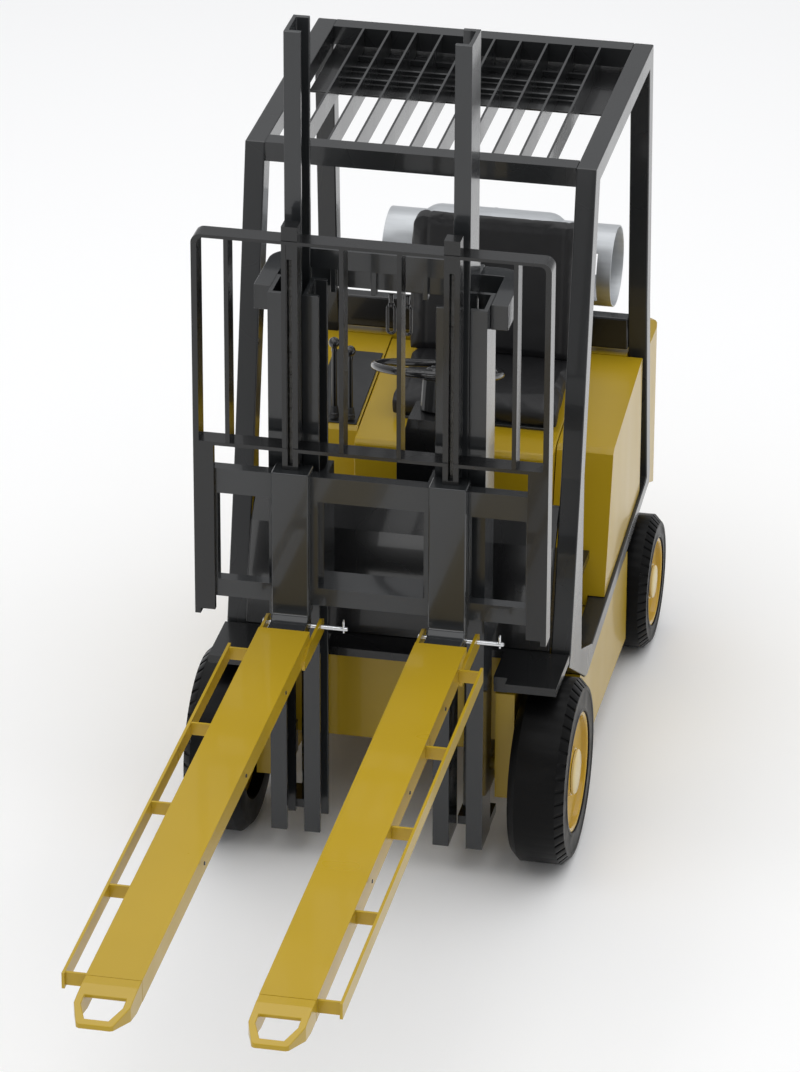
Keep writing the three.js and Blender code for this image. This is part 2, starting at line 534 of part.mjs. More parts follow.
// ---------------------------------------------------------------- driver's place
const centre = new THREE.Vector3(STEERING.x, STEERING.y, STEERING.z);
function alongColumn(geometry) {
  geometry.rotateX(Math.PI / 2 - COLUMN_TILT);
  geometry.translate(centre.x, centre.y, centre.z);
  return solid(geometry);
}
function columnRod(r, s0, s1, segments = 20) {
  const geometry = new THREE.CylinderGeometry(r, r, s1 - s0, segments);
  geometry.translate(0, (s0 + s1) / 2, 0);
  return alongColumn(geometry);
}
const pedestalTop = STEERING.z - 110;
const pedestalOutline = [[PEDESTAL.x0, FLOOR_TOP + GAP], [PEDESTAL.x1, FLOOR_TOP + GAP],
  [PEDESTAL.x1, pedestalTop - 135],
  [PEDESTAL.x1 - 34, pedestalTop], [PEDESTAL.x0 + 34, pedestalTop], [PEDESTAL.x0, pedestalTop - 135]];
const pedestalHollow = slabY(offset(pedestalOutline, -PEDESTAL.wall), PEDESTAL.y0 + PEDESTAL.wall,
  PEDESTAL.y1 - PEDESTAL.wall);
const pedestal = cut(slabY(pedestalOutline, PEDESTAL.y0, PEDESTAL.y1), pedestalHollow,
  pedestalHollow.translate([0, 0, -2 * PEDESTAL.wall]));
put('steering_pedestal', join(pedestal, columnRod(33, -190, -80), columnRod(45, -125, -32)), mastGrey());

let steering = join(alongColumn(new THREE.TorusGeometry(STEERING.r, STEERING.bar, 10,
  44).rotateX(Math.PI / 2)),
  columnRod(36, -31, 6));
for (const angle of [90, 210, 330]) {
  const spoke = new THREE.BoxGeometry(STEERING.r - 25, 9, 26);
  spoke.translate((STEERING.r + 24) / 2, -8, 0);
  spoke.rotateY(angle * Math.PI / 180);
  steering = steering.add(alongColumn(spoke));
}
put('steering_wheel', steering, black());

// the seat stands on the bonnet, flush with its left side
const seatX1 = BONNET_X1;
const seatX0 = seatX1 - SEAT_WIDTH;
const seatRear = BONNET_Y1 - 43;
const seatFront = seatRear - SEAT_DEPTH;
const seatTop = deck(seatRear) + SEAT_HEIGHT;
const plate = [onDeck(seatFront + 18, GAP), onDeck(seatRear + 3, GAP), onDeck(seatRear + 3, SEAT_PLATE),
  onDeck(seatFront + 18, SEAT_PLATE)];
put('seat_frame', slabX(plate, seatX0 + 40, seatX1 - 40), mastGrey());
const cushionTop = [onDeck(seatRear - 2, 13), onDeck(seatRear - 102, 53), onDeck(seatFront + 28, 76.5),
  onDeck(seatFront, 60.5)];
const cushion = [onDeck(seatFront + 3, SEAT_PLATE + GAP), onDeck(seatRear - 2, SEAT_PLATE + GAP),
  ...cushionTop];
put('seat_cushion', slabX(cushion, seatX0, seatX1), vinyl());
const backSide = [onDeck(seatRear - 100, 54), [seatRear - 55, seatTop], [seatRear + 10, seatTop],
  onDeck(seatRear - 1, 15)];
const backFront = roundedRect(seatX0, seatX1, deck(seatRear) - 90, seatTop, 34);
const backrestRoom = [...cushionTop.slice(0, 2).map(([y, z]) => [y, z + 0.6]),
  [seatRear - 150, deck(seatRear)],
  [seatRear - 150, DECK_Z], [FAR, DECK_Z], [FAR, deck(seatRear) + 14]];
put('seat_back', cut(slabX(backSide, seatX0, seatX1).intersect(slabY(backFront, 0, FAR)),
  slabX(backrestRoom, -FAR, FAR)), vinyl());

LEVERS.forEach(({ x, height }, i) => {
  const knobZ = deck(LEVER_Y) + height;
  const footR = KNOB_R - 4;
  const knob = new THREE.SphereGeometry(KNOB_R, 16, 12).translate(x, LEVER_Y, knobZ);
  const foot = rodX(footR, x - 8, x + 8, LEVER_Y, deck(LEVER_Y) + CONSOLE_PAD + footR + 0.5, 16);
  const stem = rodZ(LEVER_R, x, LEVER_Y, deck(LEVER_Y) + CONSOLE_PAD + footR, knobZ, 12);
  put(`lever_${i + 1}`, join(stem, solid(knob), foot), black());
});

// ---------------------------------------------------------------- mast
function channel(xOut, z0, z1) {
  const xIn = xOut - RAIL_WIDTH;
  return slabZ([[xOut, RAIL_FRONT], [xOut, RAIL_REAR], [xIn, RAIL_REAR], [xIn, RAIL_REAR - RAIL_FLANGE],
    [xOut - RAIL_WEB, RAIL_REAR - RAIL_FLANGE], [xOut - RAIL_WEB, RAIL_FRONT + RAIL_FLANGE],
    [xIn, RAIL_FRONT + RAIL_FLANGE], [xIn, RAIL_FRONT]], z0, z1);
}
const railFace = OUTER_X - 0.5;
const barrelR = ROD.r + 3 + BARREL_WALL;
const pivotLug = cut(box(OUTER_X - 29, railFace, RAIL_REAR - 1, RAIL_REAR + 115, PIVOT_Z - 48.5,
  PIVOT_Z + 55.5),
  rodX(PIVOT_R + GAP, 0, FAR, 0, PIVOT_Z));
const barrelFoot = box(ROD.x - barrelR - 2.5, railFace, RAIL_REAR + GAP, ROD.y + barrelR + 3,
  ROD.foot - 28, ROD.foot);
const footRoot = box(OUTER_X - 45, railFace, RAIL_REAR - 1, RAIL_REAR + 5, ROD.foot - 28, ROD.foot);
putPair('mast_outer_rail', join(channel(OUTER_X, RAIL_Z0, RAIL_TOP), pivotLug, barrelFoot, footRoot),
  mastGrey);

const yokeIn = OUTER_X + GAP;
const yokeOut = OUTER_X + YOKE_SIDE;
const yokeRear = RAIL_REAR + 182;
const YOKE_ROUND = 70;
const yokePlan = new THREE.Shape();
yokePlan.moveTo(yokeIn, RAIL_REAR - 81);
yokePlan.lineTo(yokeOut, RAIL_REAR - 81);
yokePlan.lineTo(yokeOut, yokeRear - YOKE_ROUND);
yokePlan.absarc(yokeOut - YOKE_ROUND, yokeRear - YOKE_ROUND, YOKE_ROUND, 0, Math.PI / 2, false);
yokePlan.lineTo(YOKE_ROUND - yokeOut, yokeRear);
yokePlan.absarc(YOKE_ROUND - yokeOut, yokeRear - YOKE_ROUND, YOKE_ROUND, Math.PI / 2, Math.PI, false);
yokePlan.lineTo(-yokeOut, RAIL_REAR - 81);
yokePlan.lineTo(-yokeIn, RAIL_REAR - 81);
yokePlan.lineTo(-yokeIn, yokeRear - 61);
yokePlan.lineTo(yokeIn, yokeRear - 61);
yokePlan.closePath();
let yoke = slabZ(yokePlan, RAIL_TOP - YOKE_DEPTH, RAIL_TOP);
for (const x of [-179, -60, 93, 179]) {
  yoke = yoke.add(box(x - 8, x + 8, yokeRear - 79, yokeRear - 53, RAIL_TOP - YOKE_DEPTH - 12,
    RAIL_TOP - 6));
}
put('mast_yoke', yoke, mastGrey());

const tieBar = box(-railFace, railFace, OUTER_TIE.y, OUTER_TIE.y + OUTER_TIE.thick, OUTER_TIE.z,
  OUTER_TIE.z + OUTER_TIE.height);
const tieEnd = box(OUTER_X - 35, railFace, RAIL_REAR + GAP, OUTER_TIE.y + 8, OUTER_TIE.z,
  OUTER_TIE.z + OUTER_TIE.height);
put('mast_outer_tie', join(tieBar, ...both(tieEnd)), mastGrey());

const barrel = cut(rodZ(barrelR, ROD.x, ROD.y, ROD.foot + GAP, BARREL_TOP, 20),
  rodZ(barrelR - BARREL_WALL, ROD.x, ROD.y, ROD.bottom, BARREL_TOP - 22, 20),
  rodZ(ROD.r + 2 * GAP, ROD.x, ROD.y, ROD_END - 450, BARREL_TOP + 5, 20));
putPair('lift_barrel', barrel, black);

putPair('mast_middle_rail', channel(MIDDLE_X, RAIL_Z0 + MIDDLE_LIFT, RAIL_TOP + MIDDLE_LIFT), mastGrey);
const tieTop = MIDDLE_TIE_Z + TIE_HEIGHT;
const middleEnd = join(box(MIDDLE_X - 42, MIDDLE_X - 4, RAIL_REAR + GAP, RAIL_REAR + 39, MIDDLE_TIE_Z,
  tieTop),
  box(ROD.x - 21.5, ROD.x + 21.5, RAIL_REAR + 23, ROD.y + 22, MIDDLE_TIE_Z, MIDDLE_TIE_Z + 25),
  rodZ(ROD.r, ROD.x, ROD.y, ROD_END, MIDDLE_TIE_Z + 5, 20));
const middleBar = box(4 - MIDDLE_X, MIDDLE_X - 4, RAIL_REAR + 23, RAIL_REAR + 43, MIDDLE_TIE_Z, tieTop);
put('mast_middle_tie', join(middleBar, ...both(middleEnd)), mastGrey());

putPair('mast_inner_rail', channel(INNER_X, RAIL_Z0, RAIL_TOP), mastGrey);
put('mast_inner_tie', box(2 - INNER_X, INNER_X - 2, RAIL_REAR + GAP, RAIL_REAR + 20.5, INNER_TIE_Z,
  INNER_TIE_Z + TIE_HEIGHT), mastGrey());

// ---------------------------------------------------------------- carriage and backrest
const plateZ = [LOWER.z0 + 5, UPPER.z1 - 5];
const carriageBar = ({ z0, z1 }) => box(-CARRIAGE_HALF, CARRIAGE_HALF, CARRIAGE_Y, CARRIAGE_REAR, z0, z1);
const upright = box(158, 290, CARRIAGE_Y + 0.5, CARRIAGE_REAR - 0.5, ...plateZ);
const endPost = box(CARRIAGE_HALF - 47, CARRIAGE_HALF, CARRIAGE_Y + 0.5, CARRIAGE_REAR - 0.5, ...plateZ);
// rollers on brackets run inside the inner rails
const rollerY = RAIL_FRONT + RAIL_DEPTH / 2;
const bracketX = INNER_X - RAIL_WIDTH - 5;
const roller = (z) => rodX(ROLLER_R, bracketX - 6, INNER_X - RAIL_WEB - 2, rollerY, z, 24);
const bracket = join(box(bracketX - 18, bracketX, CARRIAGE_REAR - 2, rollerY + 36, LOWER.z0 + 15,
  UPPER.z1 - 29),
  roller(LOWER.z0 + 85), roller(UPPER.z0 - 20));
const shelf = box(2 - bracketX + 14, bracketX - 16, CARRIAGE_REAR - 2, rollerY - 26, LOWER.z0 + 36,
  LOWER.z0 + 55);
put('carriage', join(carriageBar(UPPER), carriageBar(LOWER), ...both(upright), ...both(endPost),
  ...both(bracket), shelf), mastGrey());

const crossZ = UPPER.z1 + 81;
const frameOuter = roundedRect(-BACKREST_HALF, BACKREST_HALF, BACKREST_Z0, BACKREST_TOP, 28);
const frameInner = roundedRect(17 - BACKREST_HALF, BACKREST_HALF - 17, BACKREST_Z0 - 146,
  BACKREST_TOP - 10, 18);
const arch = cut(slabY(frameOuter, BACKREST_Y0, BACKREST_Y1), slabY(frameInner, -FAR, 0),
  box(-FAR, FAR, -FAR, 0, 0, BACKREST_Z0 + 34));
const sideFoot = box(BACKREST_HALF - 17, BACKREST_HALF, BACKREST_Y0, BACKREST_Y1, BACKREST_Z0, LOWER.z0);
const sideFlange = box(CARRIAGE_HALF - 41, BACKREST_HALF - 10, BACKREST_Y0, CARRIAGE_Y - GAP,
  BACKREST_Z0 + 16, crossZ + 5);
let backrest = join(arch, ...both(sideFoot), ...both(sideFlange),
  box(5 - BACKREST_HALF, BACKREST_HALF - 5, BACKREST_Y0, BACKREST_Y1, crossZ, crossZ + 11));
for (const i of [0.5, 1.5, 2.5]) {
  const x = i * BAR_PITCH;
  backrest = join(backrest, ...both(box(x - BAR_WIDTH / 2, x + BAR_WIDTH / 2, BACKREST_Y0 + 1,
    BACKREST_Y1 - 1, crossZ + 5, BACKREST_TOP - 5)));
}
// slotted chain guides in front of the middle rails, with a lift chain in each slot
const guideY0 = BACKREST_Y0 + 3;
const guideHalf = CHAIN_GUIDE / 2;
const slotHalf = CHAIN_SLOT / 2;
const slotZ = [FORK_TOP + 13, BACKREST_TOP - 56];
const guide = box(CHAIN_X - guideHalf, CHAIN_X + guideHalf, guideY0, guideY0 + 46, FORK_TOP + SLIDE,
  BACKREST_TOP + 44);
const slot = box(CHAIN_X - slotHalf, CHAIN_X + slotHalf, -FAR, 0, ...slotZ);
put('load_backrest', cut(join(backrest, ...both(guide)), ...both(slot)), mastGrey());
putPair('lift_chain', box(CHAIN_X - slotHalf + 1.5, CHAIN_X + slotHalf - 1.5, guideY0 + 18, guideY0 + 30,
  slotZ[0] + GAP, slotZ[1] - GAP), steel);

// ---------------------------------------------------------------- forks, sleeves and pins
const taperFrom = FORK_TIP + 300;
// inner corner between shank and blade
const HEEL = 15;
const forkOutline = [[SHANK_BACK, FORK_TOP], [SHANK_FRONT, FORK_TOP], [SHANK_FRONT, BLADE_TOP + HEEL],
  [SHANK_FRONT - HEEL, BLADE_TOP],
  [taperFrom, BLADE_TOP], [FORK_TIP, BLADE_BOTTOM + 12], [FORK_TIP, BLADE_BOTTOM + 2],
    [taperFrom, BLADE_BOTTOM],
  [SHANK_FRONT, BLADE_BOTTOM], [SHANK_BACK - 10, BLADE_BOTTOM + 4], [SHANK_BACK, BLADE_BOTTOM + 14]];
const forkFrom = FORK_X - FORK_WIDTH / 2;
const forkTo = FORK_X + FORK_WIDTH / 2;
const upperHook = box(forkFrom, forkTo, SHANK_BACK - 5, CARRIAGE_REAR - 6.5, UPPER.z1 + GAP, FORK_TOP);
const lowerHook = box(forkFrom, forkTo, SHANK_BACK - 5, CARRIAGE_REAR - 15.5, LOWER.z0 - 28,
  LOWER.z0 - GAP);
putPair('fork', join(slabX(forkOutline, forkFrom, forkTo), upperHook, lowerHook), black);

// open-bottomed tube with two straps below and ears for the retaining pin
function sleeveBody() {
  const inner = SLEEVE_HALF - SLEEVE_WALL;
  const tube = cut(box(-SLEEVE_HALF, SLEEVE_HALF, SLEEVE_Y1, SLEEVE_Y0, SLEEVE_BOTTOM, SLEEVE_TOP),
    box(-inner, inner, SLEEVE_Y1 - 10, SLEEVE_Y0 + 10, 0, SLEEVE_TOP - SLEEVE_WALL));
  const straps = [304, 1304].map((along) => box(3 - SLEEVE_HALF, SLEEVE_HALF - 3,
    SLEEVE_Y0 - along, SLEEVE_Y0 - along + 80, SLEEVE_BOTTOM, SLEEVE_BOTTOM + 8));
  const earOutline = [[SLEEVE_Y0 - 104, SLEEVE_BOTTOM - 9], [SLEEVE_Y0 - 34, SLEEVE_BOTTOM - 14],
    [PIN_Y + 31.5, SLEEVE_BOTTOM - 13],
    [PIN_Y + 31.5, PIN_Z + 11], [PIN_Y + 9.5, PIN_Z + 21], [SLEEVE_Y0 - 44, PIN_Z + 21],
    [SLEEVE_Y0 - 104, PIN_Z + 3]];
  const ear = slabX(earOutline, SLEEVE_HALF - 1, SLEEVE_HALF - 1 + EAR);
  return cut(join(tube, ...straps, ...both(ear)), rodX(PIN_R + GAP, -FAR, FAR, PIN_Y, PIN_Z, 16));
}

const tipY0 = SLEEVE_Y1 - GAP;
const tipRight = [[SLEEVE_HALF, tipY0], [SLEEVE_HALF, NOSE_Y + 88], [SLEEVE_HALF - 26, NOSE_Y + 6],
  [SLEEVE_HALF - 34, NOSE_Y]];
const tipPlan = [...tipRight, ...tipRight.map(([x, y]) => [-x, y]).reverse()];
// the casting thins from below towards its nose, and is open below behind the hand hole
const NOSE_THICK = 14;
const TIP_PLATE = 14;
const noseBottom = SLEEVE_TOP - 19 - NOSE_THICK;
const tipSide = [[tipY0, SLEEVE_BOTTOM], [NOSE_Y + 150, SLEEVE_BOTTOM], [NOSE_Y, noseBottom],
  [NOSE_Y, SLEEVE_TOP - 19],
  [NOSE_Y + 119, SLEEVE_TOP - 4], [SLEEVE_Y1 - 40, SLEEVE_TOP], [tipY0, SLEEVE_TOP]];
const handWide = SLEEVE_HALF - 20;
const handRight = [[handWide, NOSE_Y + 122], [handWide, NOSE_Y + 84], [handWide - 24, NOSE_Y + 25]];
const handHole = slabZ([...handRight, ...handRight.map(([x, y]) => [-x, y]).reverse()], 0, FAR);
const tipPocket = box(-handWide, handWide, NOSE_Y + 121, tipY0 + 1, 0, SLEEVE_TOP - TIP_PLATE);
const sleeveTip = cut(slabZ(tipPlan, SLEEVE_BOTTOM, SLEEVE_TOP).intersect(slabX(tipSide, -FAR, FAR)),
  handHole, tipPocket);

// side rail on the outboard side of each sleeve, held off it by evenly spaced rungs
function sideRail() {
  const { outer, thick, y0, y1, z0, z1 } = SIDE_RAIL;
  let rail = box(outer - thick, outer, y1, y0, z0, z1);
  const first = y0 - 23;
  const pitch = (first - (y1 + 14)) / (RUNGS - 1);
  for (let i = 0; i < RUNGS; i += 1) {
    const y = first - i * pitch;
    rail = rail.add(box(SLEEVE_HALF + GAP, outer - thick / 2, y - 4, y + 4, z0 + 6, z1 - 2));
  }
  return rail;
}

const pin = join(rodX(PIN_R, -SLEEVE_HALF - 14, SLEEVE_HALF + 86, PIN_Y, PIN_Z, 16),
  rodX(PIN_R + 4.5, -SLEEVE_HALF - 16, -SLEEVE_HALF - EAR + 0.6, PIN_Y, PIN_Z, 16));
const sleeve = sleeveBody();
for (const [side, c] of [['left', FORK_X], ['right', -FORK_X]]) {
  const rail = c > 0 ? sideRail() : mirrored(sideRail());
  put(`sleeve_${side}`, sleeve.translate([c, 0, 0]), yellow());
  put(`sleeve_tip_${side}`, sleeveTip.translate([c, 0, 0]), yellow());
  put(`side_rail_${side}`, rail.translate([c, 0, 0]), yellow());
  put(`retaining_pin_${side}`, pin.translate([c, 0, 0]), steel());
}

// ---------------------------------------------------------------- wheels
const outerFace = (w) => w.inner + w.width;
function tyre(w) {
  const groove = 9;
  const x1 = outerFace(w);
  return turnedX([[w.rim, w.inner], [w.r - TYRE_EDGE, w.inner], [w.r, w.inner + TYRE_EDGE],
    [w.r, x1 - 26], [w.r - groove, x1 - 24],
    [w.r - groove, x1 - 18], [w.r - TYRE_EDGE, x1], [w.rim, x1], [w.rim, w.inner]], w.y, w.r, 48);
}
function rim(w, hub, dish) {
  const r = w.rim - GAP;
  const back = w.inner + RIM_DEPTH + GAP;
  const x1 = outerFace(w);
  return turnedX([[0, back], [r, back], [r, x1 - 6], [r - 14, x1 - 6], [r - 26, x1 - dish],
    [hub + 22, x1 - dish - 14],
    [hub + 6, x1 - 8], [hub, x1 - 2], [0, x1 - 2]], w.y, w.r, 48);
}
putPair('front_tyre', tyre(FRONT_WHEEL), rubber);
putPair('front_rim', rim(FRONT_WHEEL, 70, 46), rimPaint);
putPair('rear_tyre', tyre(REAR_WHEEL), rubber);
putPair('rear_rim', rim(REAR_WHEEL, 58, 40), rimPaint);

const forklift = new THREE.Group();
forklift.add(truck);
export default forklift;
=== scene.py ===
import math

import bmesh
import bpy
from mathutils import Matrix, Vector


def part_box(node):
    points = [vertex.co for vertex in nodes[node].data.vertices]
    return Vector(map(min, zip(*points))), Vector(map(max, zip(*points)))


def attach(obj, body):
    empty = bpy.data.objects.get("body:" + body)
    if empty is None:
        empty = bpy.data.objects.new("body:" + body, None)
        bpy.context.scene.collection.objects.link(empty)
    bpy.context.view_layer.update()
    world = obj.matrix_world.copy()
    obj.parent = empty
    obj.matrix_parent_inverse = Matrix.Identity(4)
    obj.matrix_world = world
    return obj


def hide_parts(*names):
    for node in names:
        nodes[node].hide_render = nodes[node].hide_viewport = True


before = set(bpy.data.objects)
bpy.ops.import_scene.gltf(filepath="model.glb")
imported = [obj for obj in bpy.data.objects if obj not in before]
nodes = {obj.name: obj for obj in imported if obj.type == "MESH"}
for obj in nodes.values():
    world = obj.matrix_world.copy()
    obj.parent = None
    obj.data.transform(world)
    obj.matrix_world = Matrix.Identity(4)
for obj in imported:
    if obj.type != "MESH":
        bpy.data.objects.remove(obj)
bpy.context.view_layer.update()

TURN_STEPS = 96
SHOULDER_NOTCHES = 44
FACES_A_NOTCH = 4
NOTCH_DEPTH = 0.004
RIM_GAP = 0.0003
MERGE_DISTANCE = 0.00001
ORANGE_PEEL = 0.00004
PLAIN_EDGE = 0.002
CLOTH_FRAMES = 20
PAD_VOXEL = 0.006
SEAM_DEPTH = 0.004
SEAM_WIDTH = 0.009
CHAIN_PITCH = 0.0159


# ---------------------------------------------------------------- camera, lights and floor

def place_camera():
    right = Vector((0.9791, 0.2035, 0.0034))
    up = Vector((-0.0941, 0.4377, 0.8942))
    back = Vector((0.1805, -0.8758, 0.4477))
    data = bpy.data.cameras.new("camera")
    data.lens = 198.8
    data.sensor_width = 36
    data.clip_end = 100
    camera = bpy.data.objects.new("camera", data)
    bpy.context.scene.collection.objects.link(camera)
    turn = Matrix((right, up, back)).transposed().to_4x4()
    camera.matrix_world = Matrix.Translation((3.173, -14.898, 8.809)) @ turn
    bpy.context.scene.camera = camera


def softbox(name, place, aim, size, power):
    light = bpy.data.lights.new(name, "AREA")
    light.shape = "RECTANGLE"
    light.size, light.size_y = size
    light.energy = power
    lamp = bpy.data.objects.new(name, light)
    bpy.context.scene.collection.objects.link(lamp)
    lamp.location = place
    lamp.rotation_euler = (Vector(aim) - Vector(place)).to_track_quat("-Z", "Y").to_euler()


def light_studio():
    world = bpy.data.worlds.new("studio")
    world.use_nodes = True
    background = world.node_tree.nodes["Background"]
    background.inputs["Color"].default_value = (0.97, 0.98, 1.0, 1)
    background.inputs["Strength"].default_value = 0.45
    bpy.context.scene.world = world
    softbox("overhead_softbox", (0, 1.0, 10.0), (0, 1.0, 0), (18, 18), 1300)
    softbox("right_softbox", (9.0, 3.5, 3.5), (0, 0.8, 1.0), (5, 5), 25)
    softbox("front_softbox", (-1.5, -10.0, 4.0), (0, 0, 0.6), (5, 3), 110)
    bpy.context.scene.view_settings.view_transform = "Standard"


def lay_floor():
    clear_selection()
    bpy.ops.mesh.primitive_plane_add(size=90, location=(0, 0, -0.001))
    floor = bpy.context.object
    floor.name = "floor"
    material, _, shader, _ = blank_material("pale_floor")
    shader.inputs["Base Color"].default_value = (0.95, 0.95, 0.95, 1)
    shader.inputs["Roughness"].default_value = 0.9
    shader.inputs["Specular IOR Level"].default_value = 0.1
    floor.data.materials.append(material)


# ---------------------------------------------------------------- finishes

def blank_material(name):
    material = bpy.data.materials.new(name)
    material.use_nodes = True
    tree = material.node_tree
    shader = tree.nodes["Principled BSDF"]
    place = tree.nodes.new("ShaderNodeTexCoord")
    return material, tree, shader, place.outputs["Object"]


def cloud(tree, here, scale, detail, stretch=None):
    if stretch:
        mapping = tree.nodes.new("ShaderNodeMapping")
        mapping.inputs["Scale"].default_value = stretch
        tree.links.new(here, mapping.inputs["Vector"])
        here = mapping.outputs["Vector"]
    noise = tree.nodes.new("ShaderNodeTexNoise")
    noise.inputs["Scale"].default_value = scale
    noise.inputs["Detail"].default_value = detail
    tree.links.new(here, noise.inputs["Vector"])
    return noise.outputs["Fac"]


def spread(tree, value, low, high):
    ramp = tree.nodes.new("ShaderNodeMapRange")
    ramp.inputs["From Min"].default_value = 0.2
    ramp.inputs["From Max"].default_value = 0.8
    ramp.inputs["To Min"].default_value = low
    ramp.inputs["To Max"].default_value = high
    tree.links.new(value, ramp.inputs["Value"])
    return ramp.outputs["Result"]


def tint(tree, value, first, second, socket):
    mix = tree.nodes.new("ShaderNodeMix")
    mix.data_type = "RGBA"
    mix.inputs["A"].default_value = (*first, 1)
    mix.inputs["B"].default_value = (*second, 1)
    tree.links.new(spread(tree, value, 0, 1), mix.inputs["Factor"])
    tree.links.new(mix.outputs["Result"], socket)


def raise_by(tree, value, shader, depth, strength):
    bump = tree.nodes.new("ShaderNodeBump")
    bump.inputs["Distance"].default_value = depth
    bump.inputs["Strength"].default_value = strength
    tree.links.new(value, bump.inputs["Height"])
    tree.links.new(bump.outputs["Normal"], shader.inputs["Normal"])


def enamel(name, dark, light, shine, coat):
    """Sprayed paint: a slight change of colour, smears in the gloss and an orange-peel skin."""
    material, tree, shader, here = blank_material(name)
    tint(tree, cloud(tree, here, 2.6, 2), dark, light, shader.inputs["Base Color"])
    smear = cloud(tree, here, 5, 1, (1, 1, 0.35))
    tree.links.new(spread(tree, smear, *shine), shader.inputs["Roughness"])
    raise_by(tree, cloud(tree, here, 300, 0), shader, ORANGE_PEEL, 0.2)
    shader.inputs["Coat Weight"].default_value = coat
    shader.inputs["Specular IOR Level"].default_value = 0.35
    shader.inputs["Coat Roughness"].default_value = 0.06
    return material


def yellow_enamel():
    return enamel("yellow_enamel", (0.42, 0.275, 0.007), (0.47, 0.308, 0.009), (0.26, 0.38), 0.25)


def black_enamel():
    return enamel("black_enamel", (0.006, 0.006, 0.0065), (0.010, 0.0105, 0.011), (0.20, 0.32), 0.35)


def mast_enamel():
    return enamel("mast_enamel", (0.020, 0.0215, 0.023), (0.026, 0.028, 0.030), (0.16, 0.28), 0.5)


def guard_enamel():
    return enamel("guard_enamel", (0.014, 0.0148, 0.0155), (0.019, 0.020, 0.021), (0.22, 0.34), 0.45)


def rim_enamel():
    return enamel("rim_enamel", (0.50, 0.30, 0.006), (0.57, 0.345, 0.009), (0.22, 0.34), 0.3)


def cap_enamel():
    return enamel("hub_cap_cream", (0.66, 0.52, 0.22), (0.74, 0.59, 0.27), (0.34, 0.48), 0.3)


def cylinder_silver():
    """Aluminium paint over steel, with a faint grain drawn out along the shell."""
    material, tree, shader, here = blank_material("cylinder_silver")
    grain = cloud(tree, here, 60, 3, (0.15, 1, 1))
    tint(tree, grain, (0.48, 0.50, 0.52), (0.60, 0.62, 0.64), shader.inputs["Base Color"])
    tree.links.new(spread(tree, cloud(tree, here, 7, 4), 0.34, 0.50), shader.inputs["Roughness"])
    raise_by(tree, cloud(tree, here, 260, 2), shader, 0.00006, 0.4)
    shader.inputs["Metallic"].default_value = 0.45
    return material


def bright_steel():
    """Turned and plated steel with fine tool lines across it."""
    material, tree, shader, here = blank_material("bright_steel")
    lines = cloud(tree, here, 30, 2, (60, 1, 1))
    tint(tree, lines, (0.62, 0.63, 0.64), (0.78, 0.79, 0.80), shader.inputs["Base Color"])
    tree.links.new(spread(tree, lines, 0.16, 0.30), shader.inputs["Roughness"])
    raise_by(tree, lines, shader, 0.00002, 0.4)
    shader.inputs["Metallic"].default_value = 1.0
    return material


def oiled_steel():
    """Chain steel, dark in the joints where the oil stays."""
    material, tree, shader, here = blank_material("oiled_steel")
    oil = cloud(tree, here, 45, 4)
    tint(tree, oil, (0.035, 0.034, 0.032), (0.15, 0.15, 0.15), shader.inputs["Base Color"])
    tree.links.new(spread(tree, oil, 0.22, 0.48), shader.inputs["Roughness"])
    raise_by(tree, cloud(tree, here, 300, 2), shader, 0.00005, 0.4)
    shader.inputs["Metallic"].default_value = 0.8
    return material


def tyre_rubber():
    """Solid press-on rubber: smooth moulded skin, a little dusty in patches."""
    material, tree, shader, here = blank_material("tyre_rubber")
    patches = cloud(tree, here, 6, 5)
    tint(tree, patches, (0.0018, 0.0018, 0.0018), (0.004, 0.004, 0.0042), shader.inputs["Base Color"])
    tree.links.new(spread(tree, cloud(tree, here, 14, 4), 0.28, 0.5), shader.inputs["Roughness"])
    raise_by(tree, cloud(tree, here, 700, 2), shader, 0.00008, 0.5)
    shader.inputs["Specular IOR Level"].default_value = 0.12
    return material


def black_vinyl():
    """Grained seat vinyl: small pebbles with a soft sheen on the crowns."""
    material, tree, shader, here = blank_material("black_vinyl")
    pebble = tree.nodes.new("ShaderNodeTexVoronoi")
    pebble.inputs["Scale"].default_value = 420
    tree.links.new(here, pebble.inputs["Vector"])
    tint(tree, cloud(tree, here, 12, 4), (0.009, 0.009, 0.010), (0.016, 0.016, 0.0175),
         shader.inputs["Base Color"])
    tree.links.new(spread(tree, cloud(tree, here, 20, 3), 0.42, 0.6), shader.inputs["Roughness"])
    raise_by(tree, pebble.outputs["Distance"], shader, 0.00025, 0.5)
    shader.inputs["Sheen Weight"].default_value = 0.02
    return material


def black_plastic():
    """Moulded rim, knobs and hose loops: deep gloss with a faint ripple."""
    material, tree, shader, here = blank_material("black_plastic")
    tint(tree, cloud(tree, here, 25, 3), (0.010, 0.010, 0.011), (0.017, 0.017, 0.018),
         shader.inputs["Base Color"])
    tree.links.new(spread(tree, cloud(tree, here, 30, 3), 0.12, 0.24), shader.inputs["Roughness"])
    raise_by(tree, cloud(tree, here, 90, 2), shader, 0.00006, 0.4)
    shader.inputs["Coat Weight"].default_value = 0.5
    return material


def pad_rubber():
    """Fine-grained rubber, a little dusty, for the console pad and the lever boots."""
    material, tree, shader, here = blank_material("pad_rubber")
    tint(tree, cloud(tree, here, 10, 4), (0.014, 0.015, 0.016), (0.024, 0.025, 0.026),
         shader.inputs["Base Color"])
    tree.links.new(spread(tree, cloud(tree, here, 22, 3), 0.4, 0.58), shader.inputs["Roughness"])
    raise_by(tree, cloud(tree, here, 520, 2), shader, 0.0002, 0.5)
    return material


